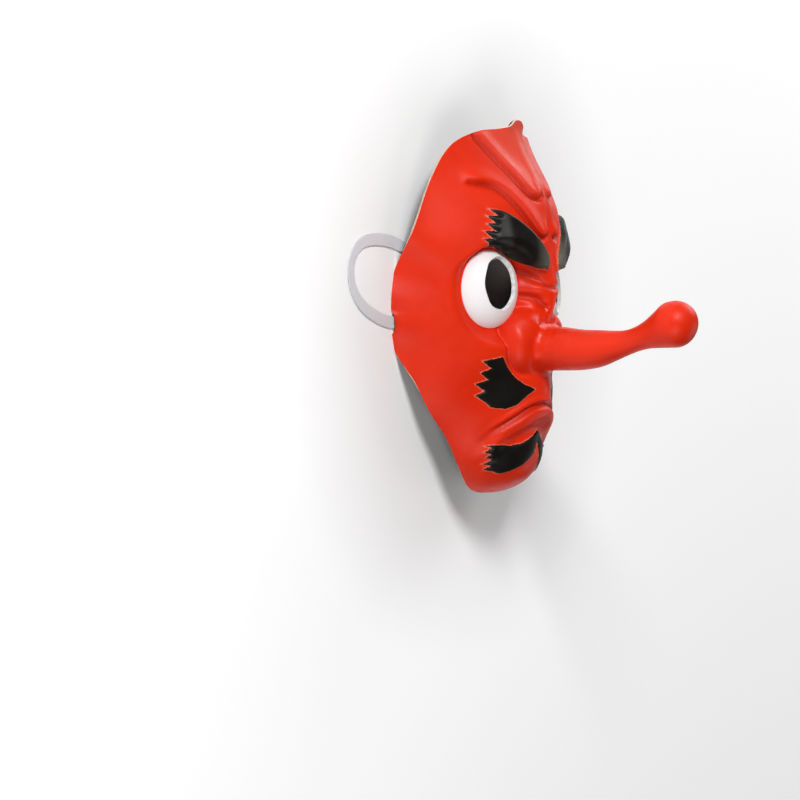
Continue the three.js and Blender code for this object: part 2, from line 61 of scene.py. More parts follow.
# The strap: its section, ribs and weave, and the middle of its route in metres
STRAP_WIDTH = 7.5 * MM
STRAP_THICKNESS = 1.0 * MM
STRAP_RIBS = 6
STRAP_RIB_DEPTH = 0.09 * MM
STRAP_RIB_STEPS = 8
STRAP_EDGE = 0.35
STRAP_STEP = 0.8 * MM
WEFT_TURN = 9.0
WEFT_SLANT = 1.6
STRAP_ROUTE = [
    (-0.074, -0.0106, 0.0089),
    (-0.0766, -0.0106, 0.0058),
    (-0.0786, -0.0106, 0.0033),
    (-0.0801, -0.0106, 0.0014),
    (-0.0818, -0.0106, 0.00066),
    (-0.084, -0.0106, 0.00062),
    (-0.089, -0.0104, 0.00062),
    (-0.097, -0.0092, 0.00062),
    (-0.107, -0.0066, 0.00062),
    (-0.117, -0.003, 0.00062),
    (-0.126, 0.0026, 0.00062),
    (-0.1325, 0.0105, 0.00062),
    (-0.1345, 0.02, 0.00062),
    (-0.131, 0.0295, 0.00062),
    (-0.123, 0.036, 0.00062),
    (-0.112, 0.0388, 0.00062),
    (-0.1, 0.0392, 0.00062),
    (-0.09, 0.0386, 0.00062),
    (-0.08, 0.037, 0.00062),
    (-0.064, 0.0334, 0.00062),
    (-0.044, 0.028, 0.00062),
    (-0.024, 0.0214, 0.00062),
    (-0.004, 0.014, 0.00062),
    (0.016, 0.0062, 0.00062),
    (0.036, -0.0016, 0.00062),
    (0.054, -0.0074, 0.00062),
    (0.066, -0.0101, 0.00062),
    (0.075, -0.0106, 0.00062),
    (0.0782, -0.0106, 0.0011),
    (0.0793, -0.0106, 0.0025),
    (0.0786, -0.0106, 0.0039),
    (0.0767, -0.0106, 0.006),
    (0.0741, -0.0106, 0.0091),
]

# Where the route climbs so steeply that its level way across is shorter than this, the one before it is kept
STRAP_STEEP = 0.2

# The shell: its wall, the depth of the plain face, and the rim as shares across and up with its height
WALL = 2.4
FACE_DEPTH = 55
RIM = [
    (0, -1, 17.2),
    (0.23, -0.972, 17.1),
    (0.42, -0.85, 18.4),
    (0.565, -0.7, 17),
    (0.735, -0.555, 13.2),
    (0.865, -0.4, 9.6),
    (0.92, -0.315, 4.6),
    (0.955, -0.235, 0),
    (0.985, -0.155, 0),
    (0.99, -0.135, 2),
    (1, -0.05, 2),
    (1, -0.03, 0),
    (0.995, 0.05, 0),
    (0.96, 0.17, 0),
    (0.945, 0.25, 3.6),
    (0.93, 0.4, 12.4),
    (0.775, 0.67, 17),
    (0.58, 0.85, 21),
    (0.33, 0.934, 28.4),
    (0.17, 0.95, 35),
    (0.095, 0.965, 40),
    (0.045, 0.994, 41),
    (0, 1, 41),
]

# Below this height the rim's cut turns level, to lie on the floor
FLAT_CUT_HEIGHT = 6

# How far round the rim its height is evened out, and how close to the rim its own detail sets in
BROAD_EVENNESS = 22
FINE_EVENNESS = 9
BROAD_DETAIL_POWER = 13
FINE_DETAIL_POWER = 60
REACH_DETAIL_POWER = 5

# How the face falls to the rim, as a power and a bend, at the side, the top and the chin
FALL_SIDE = (2.1, 1.0)
FALL_TOP = (2.9, 1.2)
FALL_CHIN = (4.6, 0.5)

# The eyes, the pupils' holes with the waves of their edge, and the opening left for an eye in the face's grid
EYE_X = 0.42 * HALF_WIDTH
EYE_Y = 0.09 * HALF_HEIGHT
EYE_DEPTH = 40.3
EYE_TURN = math.radians(27)
EYE_HALF_WIDTH = 21
EYE_HALF_HEIGHT = 24.3
EYE_BULGE = 11
EYE_SKIRT = 1.05
SKIRT_SLOPE = 1.4
SOCKET_REACH = 1.55
SOCKET_REACH_TOP = 1.24
PUPIL_INWARD = 3
PUPIL_UP = 3
PUPIL_HALF_WIDTH = 12
PUPIL_HALF_HEIGHT = 16.5
PUPIL_WAVES = [(0.015, 3, 0.6), (0.012, 7, 0)]
EYE_OPENING = 0.92

# The nose: its root, fillet and flare, and its stations of reach, height and radius up to the tip's round cap
NOSE_Y = -0.227 * HALF_HEIGHT
NOSE_FILLET = 5
FLARE = 0.14
FLARE_LENGTH = 9
NOSE_TIP_UP = -0.09
NOSE_STATIONS = [
    (0.445, -0.227, 13.4),
    (0.53, -0.233, 12.4),
    (0.605, -0.227, 11.2),
    (0.663, -0.214, 9.3),
    (0.713, -0.198, 7.9),
    (0.764, -0.173, 7.9),
    (0.804, -0.15, 9.2),
    (0.846, -0.124, 11.8),
    (0.876, -0.107, 13.7),
    (0.915, -0.101, 14.3),
]
NOSE_CUP_RADIUS = 9.5
NOSE_CUP_REACH = 76
FACE_START = NOSE_STATIONS[0][2] + NOSE_FILLET

# The broad forms of the plain face: height in millimetres, then place and half size as shares across and up
SWELLINGS = {
    "brow ridge": (9, 0, 0.36, 0.62, 0.3),
    "forehead": (7.5, 0, 0.64, 0.34, 0.22),
    "inner brow": (2.5, 0.3, 0.25, 0.18, 0.12),
    "bridge": (9, 0, 0.04, 0.11, 0.2),
    "cheek": (3, 0.46, -0.22, 0.22, 0.16),
    "cheek hollow": (-3, 0.44, -0.42, 0.16, 0.12),
    "muzzle": (6, 0, -0.44, 0.16, 0.13),
    "fold under the lip": (-5.5, 0.28, -0.7, 0.17, 0.09),
    "chin": (6, 0, -0.94, 0.22, 0.08),
}

# Finer forms, as the swellings are given but along the surface's own normal
FINE_FORMS = {
    "roll on the bridge": (2.4, 0.12, 0.095, 0.1, 0.042),
    "front of the chin": (2.5, 0.05, -0.78, 0.13, 0.08),
    "channel between the brows": (-1.3, 0, 0.4, 0.03, 0.2),
}

# The nose's wing: place and half size as shares, then where the crease round it runs in shares of that size
WING = (0.19, -0.185, 0.145, 0.155)
WING_CREASE_AT = 1.16
WING_CREASE_WIDTH = 0.12

# The carving, in millimetres of relief or of width along the face
BROW_RELIEF = 5.2
TUFT_RELIEF = 0.9
FURROW_DEPTH = 2.2
FURROW_WIDTH = 1.7
PLATE_RELIEF = 2.6
PLATE_WIDTH = 7
FOLD_DEPTH = 2.2
FOLD_WIDTH = 2
LIP_RELIEF = 4.0
UPPER_LIP_RELIEF = 1.6
UPPER_LIP_AT = -3.6
UPPER_LIP_WIDTH = 2.2
MOUTH_CREASE = 1.2
MOUTH_CREASE_AT = -0.9
MOUTH_CREASE_WIDTH = 1.4
WING_RELIEF = 7.5
WING_CREASE = 2
LINE_STEP = 1.5

# Where the mouth's relief ends, as a share across
LIP_END = 0.37

# Painted shade, a darker red in the hollows: widths in millimetres, and corners as a strength, a place and a
# half size
FURROW_SHADE = 1.6
FOLD_SHADE = 1.8
MOUTH_SHADE = 1.2
SHADED_CORNERS = [(0.9, 0.17, 0.16, 0.1, 0.06), (0.8, 0.34, -0.3, 0.025, 0.03)]

# How finely the shell is meshed, and how its rows crowd towards an edge
COLUMN_SPACING = 1.55
FACE_ROWS = 180
FACE_CROWDING = 1.25
RIM_FADE_ROWS = 8
INSIDE_STRIDE = 3
EYE_SIDES = 144
EYE_ROWS = 24
EYE_CROWDING = 1.5
FILLET_ROWS = 8
NOSE_ROWS = 50
TIP_ROWS = 10
CUP_ROWS = 8

# The depth inside a painted patch that is given to places away from the face's grid
FAR_OUTSIDE = -20.0

# Colours, linear
RED = (0.76, 0.027, 0.004, 1)
DEEP_RED = (0.68, 0.021, 0.003, 1)
# Painted sheen: a paler red mixed into the top of the forehead
CROWN_SHEEN_RED = (0.62, 0.11, 0.075, 1)
# Painted shade: a dark red for the furrows, folds and corners of the carving
HOLLOW_SHADE_RED = (0.30, 0.012, 0.004, 1)
BLACK = (0.006, 0.005, 0.004, 1)
# Painted sheen: a grey lighter than the black, for the brows' inner ends
BROW_SHEEN_GREY = (0.105, 0.105, 0.082, 1)
WHITE = (0.86, 0.83, 0.84, 1)
PALE_LINE = (0.72, 0.14, 0.075, 1)
RIM_PALE = (0.80, 0.62, 0.50, 1)
RIM_WARM = (0.70, 0.44, 0.33, 1)
EYE_CUT = (0.62, 0.60, 0.60, 1)
INSIDE = (0.012, 0.010, 0.009, 1)
INSIDE_WORN = (0.030, 0.022, 0.018, 1)
ELASTIC = (0.80, 0.79, 0.82, 1)
ELASTIC_SHADE = (0.60, 0.59, 0.63, 1)
FLOOR = (0.98, 0.98, 0.98, 1)

# How much painted sheen at the crown and painted shade in the hollows is mixed in, how much the nose root's
# roughness is lowered, and the size of the dents there
CROWN_SHEEN_SHARE = 0.55
HOLLOW_SHADE_SHARE = 0.5
ROOT_POLISH = 0.14
ROOT_DENTS = 9

# Roughness, as one value or a range, and how strongly each finish mirrors
PAINT_ROUGHNESS = (0.34, 0.48)
CUT_ROUGHNESS = 0.7
INSIDE_ROUGHNESS = (0.75, 0.95)
ELASTIC_ROUGHNESS = 0.8
FLOOR_ROUGHNESS = 0.9
PAINT_SPECULAR = 0.2
INSIDE_SPECULAR = 0.1
ELASTIC_SHEEN = 0.3

# The floor: its half size, the strength of its glow, and the distances over which the glow grows, in metres
FLOOR_HALF = 4
FLOOR_GLOW = 0.17
GLOW_FROM = 0.12
GLOW_TO = 0.22

# Light: the world's strength round about and overhead and where it dims, then each lamp's name, place, aim,
# size and power
WORLD_ROUND = 1.0
WORLD_OVERHEAD = 0.02
WORLD_DIMS_FROM = 0.45
WORLD_DIMS_TO = 0.8
LIGHTS = [
    ("key", (-0.95, 0.95, 1.0), (0, 0, 0.04), (0.5, 0.5), 22),
    ("low fill", (-1.1, -0.9, 0.8), (0, 0, 0.04), (0.9, 0.9), 9),
    ("crown sheen", (1.0, 0.85, 0.5), (0, 0.05, 0.05), (0.8, 0.8), 8),
    ("far side", (1.2, -0.5, 0.9), (0, 0, 0), (1.0, 1.0), 4),
]


def make_camera():
    right = Vector((math.cos(VIEW_TURN), 0, math.sin(VIEW_TURN)))
    up = Vector((0, 1, 0))
    back = right.cross(up)
    aim = right * AIM_RIGHT + up * AIM_UP + back * AIM_NEAR
    camera = bpy.data.objects.new("camera", bpy.data.cameras.new("camera"))
    camera.data.sensor_width = SENSOR / MM
    camera.data.lens = SENSOR / MM * VIEW_DISTANCE / VIEW_SPAN
    camera.data.clip_end = 50
    turn = Matrix((right, up, back)).transposed().to_4x4()
    camera.matrix_world = Matrix.Translation(aim + back * VIEW_DISTANCE) @ turn
    bpy.context.collection.objects.link(camera)
    bpy.context.scene.camera = camera


def smooth(low, high, value):
    share = np.clip((value - low) / (high - low), 0, 1)
    return share * share * (3 - 2 * share)


def mix(a, b, share):
    return a + (b - a) * share


def spline(points, shares, closed=False):
    """Points at the given shares of a centripetal Catmull-Rom curve, one span between each pair of points."""
    points = np.asarray(points, float)
    count = len(points)
    spans = count if closed else count - 1
    place = np.asarray(shares) * spans
    start = np.clip(np.floor(place).astype(int), 0, spans - 1)
    t = (place - start)[:, None]
    if closed:
        a, b, c, d = (points[(start + k) % count] for k in (-1, 0, 1, 2))
    else:
        padded = np.vstack([2 * points[0] - points[1], points, 2 * points[-1] - points[-2]])
        a, b, c, d = (padded[start + k] for k in (0, 1, 2, 3))
    ab, bc, cd = (np.sqrt(np.linalg.norm(q - p, axis=1))[:, None] for p, q in ((a, b), (b, c), (c, d)))
    leave = ((b - a) / ab - (c - a) / (ab + bc) + (c - b) / bc) * bc
    arrive = ((c - b) / bc - (d - b) / (bc + cd) + (d - c) / cd) * bc
    return b + leave * t + (3 * (c - b) - 2 * leave - arrive) * t**2 + (2 * (b - c) + leave + arrive) * t**3


def evenly(points, step):
    """A smooth open line through the points, with a point about every step."""
    fine = spline(points, np.linspace(0, 1, 60 * len(points)))
    run = np.r_[0, np.cumsum(np.linalg.norm(np.diff(fine, axis=0), axis=1))]
    at = np.linspace(0, run[-1], max(2, round(run[-1] / step)) + 1)
    return np.column_stack([np.interp(at, run, fine[:, k]) for k in range(fine.shape[1])])


def bump(side, y, across, up, half_across, half_up, power=1.0):
    """A round-topped bump of height one; a higher power gives it a flatter top and steeper sides."""
    a = (side / HALF_WIDTH - across) / half_across
    b = (y / HALF_HEIGHT - up) / half_up
    return np.exp(-((a * a + b * b) ** power))


def frayed_end(start, end, teeth):
    """A tuft's frayed end. Each tooth gives its notch's place and depth, and its tip's place and reach."""
    start, end = np.array(start) * SHARES, np.array(end) * SHARES
    along = end - start
    out = np.array([along[1], -along[0]]) / np.linalg.norm(along)
    points = []
    for notch_at, depth, tip_at, reach in teeth:
        points.append(start + along * notch_at - out * depth)
        points.append(start + along * tip_at + out * reach)
    return points


def teeth_for(count, reach, depth, lean=0.62, swing=0.3):
    """Even teeth, with every other one a little longer."""
    return [
        (k / count, depth * (1 - swing * (k % 2)), (k + lean) / count, reach * (1 + swing * (k % 2)))
        for k in range(count)
    ]


def outline(*parts):
    """A closed outline in millimetres, from pairs of shares and from points that are millimetres already."""
    points = []
    for part in parts:
        points += part if isinstance(part, list) else [np.array(part) * SHARES]
    return np.array(points)


def nearest_on(line, x, y):
    """The distance from each place to an open line of points."""
    best = np.full(np.shape(x), np.inf)
    for a, b in zip(line[:-1], line[1:]):
        run = b - a
        share = np.clip(((x - a[0]) * run[0] + (y - a[1]) * run[1]) / max(run @ run, 1e-9), 0, 1)
        best = np.minimum(best, np.hypot(x - a[0] - share * run[0], y - a[1] - share * run[1]))
    return best


def depth_inside(shape, x, y):
    """How far each place lies inside a closed outline, negative outside."""
    closed = np.vstack([shape, shape[:1]])
    inside = np.zeros(np.shape(x), bool)
    for a, b in zip(closed[:-1], closed[1:]):
        if a[1] != b[1]:
            crosses = (a[1] > y) != (b[1] > y)
            inside ^= crosses & (x < a[0] + (y - a[1]) / (b[1] - a[1]) * (b[0] - a[0]))
    return np.where(inside, 1, -1) * nearest_on(closed, x, y)


BROW = outline(
    (0.14, 0.204),
    (0.216, 0.232),
    (0.28, 0.262),
    (0.345, 0.3),
    (0.43, 0.322),
    frayed_end((0.53, 0.318), (0.435, 0.52), teeth_for(5, 3.2, 2.4)),
    (0.395, 0.5),
    (0.31, 0.462),
    (0.22, 0.4),
    (0.13, 0.33),
    (0.075, 0.275),
    (0.06, 0.225),
    (0.078, 0.192),
)
MOUSTACHE = outline(
    (0.115, -0.443),
    (0.175, -0.475),
    (0.25, -0.525),
    (0.328, -0.549),
    (0.417, -0.54),
    frayed_end((0.47, -0.515), (0.465, -0.272), teeth_for(4, 4.2, 2)),
    (0.393, -0.272),
    (0.335, -0.325),
    (0.262, -0.385),
    (0.2, -0.418),
)
CHIN_TUFT = outline(
    (0.035, -0.78),
    (0.1, -0.84),
    (0.184, -0.88),
    (0.24, -0.893),
    frayed_end((0.3, -0.885), (0.38, -0.725), teeth_for(5, 2.2, 1.8)),
    (0.36, -0.737),
    (0.228, -0.745),
    (0.146, -0.732),
    (0.05, -0.69),
    (-0.01, -0.65),
    (-0.01, -0.7),
)

# The frown's two furrows on each side, from the outer end in to the middle of the forehead
FURROWS = [
    [
        (0.38, 0.915),
        (0.3, 0.81),
        (0.255, 0.745),
        (0.215, 0.69),
        (0.185, 0.635),
        (0.14, 0.588),
        (0.077, 0.573),
        (0.04, 0.592),
    ],
    [
        (0.54, 0.652),
        (0.41, 0.637),
        (0.36, 0.615),
        (0.305, 0.566),
        (0.25, 0.501),
        (0.205, 0.445),
        (0.15, 0.39),
        (0.097, 0.363),
        (0.046, 0.38),
    ],
]
BRIDGE_FOLDS = [
    [(0.27, 0.215), (0.2, 0.178), (0.12, 0.135), (0.05, 0.1), (0, 0.095)],
    [(0.21, 0.058), (0.15, 0.05), (0.12, 0.038), (0.09, 0.008), (0.06, -0.01)],
]
MOUTH = [(-0.12, -0.54), (0, -0.525), (0.12, -0.54), (0.23, -0.59), (0.33, -0.648), (0.42, -0.712)]


def hollow_shade(side, y):
    """How much painted shade each place gets in a furrow, fold or corner of the carving, from none to one."""
    shade = sum(strength * bump(side, y, *place) for strength, *place in SHADED_CORNERS)
    shaded = [(line, FURROW_SHADE) for line in FURROWS]
    shaded += [(line, FOLD_SHADE) for line in BRIDGE_FOLDS]
    shaded += [(MOUTH, MOUTH_SHADE)]
    for line, width in shaded:
        away = nearest_on(evenly(np.array(line) * SHARES, LINE_STEP), side, y)
        shade = np.maximum(shade, np.exp(-((away / width) ** 2)))
    return shade


def swelling(x, y):
    """The broad height that the moulding adds to the plain dome."""
    side = np.abs(x)
    return sum(height * bump(side, y, *place) for height, *place in SWELLINGS.values())


def furrow_relief(side, y):
    """Two frown furrows, each with a plate of skin that rolls over it from above."""
    relief = 0
    for line in FURROWS:
        points = evenly(np.array(line) * SHARES, LINE_STEP)
        away = nearest_on(points, side, y)
        order = np.argsort(points[:, 0])
        height = np.interp(side, points[order, 0], points[order, 1])
        above = smooth(-0.6, 1.9, np.where(y > height, away, -away))
        ends = smooth(0.62, 0.45, side / HALF_WIDTH) * smooth(0.005, 0.075, side / HALF_WIDTH)
        roll = np.exp(-((np.maximum(0, away - 1.5) / PLATE_WIDTH) ** 2)) * above
        relief = relief + ends * (PLATE_RELIEF * roll - FURROW_DEPTH * np.exp(-((away / FURROW_WIDTH) ** 2)))
    return relief


def mouth_relief(side, y):
    """A shut frowning mouth: a sharp crease, a thin upper lip and a full lower lip."""
    points = evenly(np.array(MOUTH) * SHARES, LINE_STEP)
    away = nearest_on(points, side, y)
    below = np.where(y < np.interp(side, points[:, 0], points[:, 1]), away, -away)
    ends = smooth(LIP_END + 0.06, LIP_END - 0.08, side / HALF_WIDTH)
    lower = smooth(-0.8, 2.2, below) * smooth(15, 5, below)
    upper = np.exp(-(((below - UPPER_LIP_AT) / UPPER_LIP_WIDTH) ** 2))
    crease = np.exp(-(((below - MOUTH_CREASE_AT) / MOUTH_CREASE_WIDTH) ** 2))
    return ends * (LIP_RELIEF * lower + UPPER_LIP_RELIEF * upper - MOUTH_CREASE * crease)


def carving(x, y):
    """The finer relief, along the surface's own normal."""
    side = np.abs(x)
    pad = mix(0.3, 1, smooth(0.5, 0.36, side / HALF_WIDTH))
    raised = BROW_RELIEF * pad * smooth(-1.4, 2.2, depth_inside(BROW, side, y))
    for tuft in (MOUSTACHE, CHIN_TUFT):
        raised = raised + TUFT_RELIEF * smooth(-0.4, 0.7, depth_inside(tuft, side, y))
    for line in BRIDGE_FOLDS:
        away = nearest_on(np.array(line) * SHARES, side, y)
        raised = raised - FOLD_DEPTH * np.exp(-((away / FOLD_WIDTH) ** 2))
    for height, *place in FINE_FORMS.values():
        raised = raised + height * bump(side, y, *place)
    across, up, half_across, half_up = WING
    wing = np.hypot((side / HALF_WIDTH - across) / half_across, (y / HALF_HEIGHT - up) / half_up)
    crease = np.exp(-(((wing - WING_CREASE_AT) / WING_CREASE_WIDTH) ** 2))
    crease = crease * smooth(0.12, 0.24, side / HALF_WIDTH)
    return (
        raised
        + furrow_relief(side, y)
        + mouth_relief(side, y)
        + WING_RELIEF * np.exp(-(wing**5))
        - WING_CREASE * crease
    )


class Columns:
    """Lines across the face from the nose out to the rim, from the chin round to the peak and back."""

    def __init__(self):
        half = np.array(RIM) * [HALF_WIDTH, HALF_HEIGHT, 1]
        loop = np.vstack([half, half[-2:0:-1] * [-1, 1, 1]])
        shares = []
        for k, (a, b) in enumerate(zip(half[:-1], half[1:])):
            steps = max(1, round(np.linalg.norm(b - a) / COLUMN_SPACING))
            shares += [(k + m / steps) / len(loop) for m in range(steps)]
        left = np.vstack([spline(loop, shares, closed=True), half[-1]])
        self.rim = np.vstack([left, left[-2:0:-1] * [-1, 1, 1]])
        self.rim[:, 2] = np.maximum(0, self.rim[:, 2])
        self.count = len(self.rim)
        away = self.rim[:, :2] - [0, NOSE_Y]
        self.reach = np.linalg.norm(away, axis=1)
        self.aim = away / self.reach[:, None]
        lift = self.aim[:, 1]
        top = np.where(lift > 0, lift**4, 0)
        chin = np.where(lift < 0, lift**4, 0)
        weights = np.stack([1 - top - chin, top, chin])
        self.power, self.bend = np.array([FALL_SIDE, FALL_TOP, FALL_CHIN]).T @ weights
        self.broad = self.evened_out(self.rim[:, 2], BROAD_EVENNESS)
        self.fine = self.evened_out(self.rim[:, 2], FINE_EVENNESS)
        self.even_reach = mix(self.reach, self.evened_out(self.reach, BROAD_EVENNESS), weights[0])

    def evened_out(self, values, length):
        """Values of the columns, averaged over a length of the rim on both sides of each."""
        run = np.linalg.norm(np.roll(self.rim, -1, 0) - self.rim, axis=1)
        at = np.r_[0, np.cumsum(run)[:-1]]
        around = run.sum()
        apart = np.abs(at[:, None] - at[None, :])
        apart = np.minimum(apart, around - apart)
        weights = np.exp(-((apart / length) ** 2)) * (run + np.roll(run, 1)) / 2
        return weights @ values / weights.sum(1)


def eye_along(side):
    return (side - EYE_X) / math.cos(EYE_TURN)


def eye_share(side, y):
    return np.hypot(eye_along(side) / EYE_HALF_WIDTH, (y - EYE_Y) / EYE_HALF_HEIGHT)


def face_points(columns, x, y):
    """The face without its carving, at places whose first axis follows the columns."""
    shape = (-1,) + (1,) * (np.ndim(x) - 1)
    reach, even_reach, power, bend, broad, fine, rim = (
        np.reshape(values, shape)
        for values in (
            columns.reach,
            columns.even_reach,
            columns.power,
            columns.bend,
            columns.broad,
            columns.fine,
            columns.rim[:, 2],
        )
    )
    away = np.hypot(x, y - NOSE_Y)
    share = np.minimum(1, away / reach)
    fall = 1 - np.minimum(1, away / mix(even_reach, reach, share**REACH_DETAIL_POWER)) ** power
    detail = (fine - broad) * share**BROAD_DETAIL_POWER + (rim - fine) * share**FINE_DETAIL_POWER
    dome = broad + (FACE_DEPTH - broad) * fall**bend + detail
    side = np.abs(x)
    face = dome + swelling(x, y) * (1 - share**6)
    near = eye_share(side, y)
    lift = np.clip((y - EYE_Y) / EYE_HALF_HEIGHT / np.maximum(near, 1e-6), 0, 1)
    socket = mix(SOCKET_REACH, SOCKET_REACH_TOP, smooth(0.2, 0.9, lift))
    height = mix(face, eye_plane(side), 1 - smooth(1, socket, near))
    return np.stack(np.broadcast_arrays(x, y, height), axis=-1)


def eye_plane(side):
    return EYE_DEPTH - (side - EYE_X) * math.tan(EYE_TURN)


def grid_normals(points):
    """The outward normals of the face's grid, columns first and rows second."""
    out = np.empty_like(points)
    out[:, 1:-1] = points[:, 2:] - points[:, :-2]
    out[:, 0] = points[:, 1] - points[:, 0]
    out[:, -1] = points[:, -1] - points[:, -2]
    around = np.roll(points, -1, 0) - np.roll(points, 1, 0)
    normals = np.cross(out, around)
    return normals / np.linalg.norm(normals, axis=-1, keepdims=True)


def inner_rim(outer, normals):
    """The rim's inner edge: cut square through the wall, thinner at the peak, and level on the floor."""
    square = outer - normals * WALL * mix(1, 0.45, smooth(0.9, 0.97, outer[:, 1:2] / HALF_HEIGHT))
    sideways = np.linalg.norm(normals[:, :2], axis=1, keepdims=True)
    level = outer.copy()
    level[:, :2] -= normals[:, :2] / sideways * (WALL / sideways)
    share = (1 - smooth(0, FLAT_CUT_HEIGHT, outer[:, 2]))[:, None]
    return mix(square, level, share)


def nose_rings(columns, normals):
    """The nose's rings, from the fillet at the face to the last one before the tip."""
    rings = []
    aim_x, aim_y = columns.aim.T
    root_reach, _, root_radius = np.array(NOSE_STATIONS[0]) * [NOSE_REACH, HALF_HEIGHT, 1]
    ends = root_radius * (1 + FLARE * aim_x**2)
    end_x, end_y = aim_x * ends, NOSE_Y + aim_y * ends
    level = face_points(columns, end_x, end_y)[:, 2] + carving(end_x, end_y)
    rise = mix(NOSE_FILLET, np.maximum(NOSE_FILLET, root_reach - 1 - level), aim_x**2)
    for k in range(1, FILLET_ROWS + 1):
        angle = k / FILLET_ROWS * math.pi / 2
        radius = mix(FACE_START, ends, math.sin(angle))
        x, y = aim_x * radius, NOSE_Y + aim_y * radius
        lean = mix(normals, np.array([0, 0, 1]), k / FILLET_ROWS)
        ring = face_points(columns, x, y) + lean * carving(x, y)[:, None]
        ring[:, 2] += rise * (1 - math.cos(angle))
        rings.append(ring)
    stations = np.array(NOSE_STATIONS) * [NOSE_REACH, HALF_HEIGHT, 1]
    line = evenly(stations, (stations[-1, 0] - stations[0, 0]) / NOSE_ROWS)
    shaft = columns.aim[::2]
    first_radius = line[0, 2] * (1 + FLARE * shaft[:, :1] ** 2)
    first = np.column_stack([shaft * first_radius + [0, line[0, 1]], np.full(len(shaft), line[0, 0])])
    start = rings[-1][::2]
    rings += [mix(start, first, share) for share in (0.25, 0.5, 0.75)]
    for z, y, radius in line:
        flare = 1 + FLARE * math.exp(-(z - line[0, 0]) / FLARE_LENGTH) * shaft[:, :1] ** 2
        rings.append(np.column_stack([shaft * flare * radius + [0, y], np.full(len(shaft), z)]))
    low, middle, radius = stations[-1]
    for angle in np.arange(1, TIP_ROWS) / TIP_ROWS * math.pi / 2:
        z = low + (NOSE_REACH - low) * math.sin(angle)
        y = mix(middle, NOSE_TIP_UP * HALF_HEIGHT, 1 - math.cos(angle))
        rings.append(np.column_stack([shaft * radius * math.cos(angle) + [0, y], np.full(len(shaft), z)]))
    return rings


def cup_rings(columns, start):
    """The hollow behind the nose, where the wearer's own nose goes."""
    rings = []
    for k in range(1, CUP_ROWS + 1):
        share = k / CUP_ROWS
        radius = mix(FACE_START, NOSE_CUP_RADIUS, min(1, share * 1.5))
        height = mix(start[:, 2], NOSE_CUP_REACH - 2, share**1.6)
        rings.append(np.column_stack([columns.aim * radius + [0, NOSE_Y], height]))
    return rings


class Surface:
    """Points and faces collected for one closed mesh. Each face keeps the name of its finish."""

    def __init__(self):
        self.points = []
        self.faces = []
        self.finish = []
        self.eyes = []

    def add(self, points):
        first = sum(len(p) for p in self.points)
        self.points.append(np.asarray(points))
        return np.arange(first, first + len(points))

    def quads(self, a, b, c, d, finish):
        self.faces += np.column_stack([a, b, c, d]).tolist()
        self.finish += [finish] * len(a)

    def add_grid(self, points, x, y, finish, turned):
        """A grid of columns and rows, left open where an eye goes. A turned grid faces the wearer."""
        grid = self.add(points.reshape(-1, 3)).reshape(points.shape[:2])
        a, b, c, d = grid[:, :-1], grid[:, 1:], np.roll(grid, -1, 0)[:, 1:], np.roll(grid, -1, 0)[:, :-1]
        middle = [(v + np.roll(v, -1, 0))[:, 1:] / 4 + (v + np.roll(v, -1, 0))[:, :-1] / 4 for v in (x, y)]
        kept = eye_share(np.abs(middle[0]), middle[1]) > EYE_OPENING
        corners = [corner[kept] for corner in ((a, d, c, b) if turned else (a, b, c, d))]
        self.quads(*corners, finish)
        return grid

    def close_with(self, last, rings, tip, faces_out, finish):
        """Rings that close towards one last point. A ring has as many points as the last, or half as many."""
        for ring in rings:
            following = self.add(ring)
            a, b, c, d = following, last, np.roll(last, -1), np.roll(following, -1)
            if len(following) == len(last):
                self.quads(*((a, b, c, d) if faces_out else (a, d, c, b)), finish)
            else:
                middle = last[1::2]
                corners = [following, last[::2], middle, np.roll(last[::2], -1), d]
                self.faces += np.column_stack(corners).tolist()
                self.finish += [finish] * len(following)
            last = following
        end = int(self.add([tip])[0])
        for a, b in zip(last.tolist(), np.roll(last, -1).tolist()):
            self.faces.append([end, a, b] if faces_out else [end, b, a])
            self.finish.append(finish)


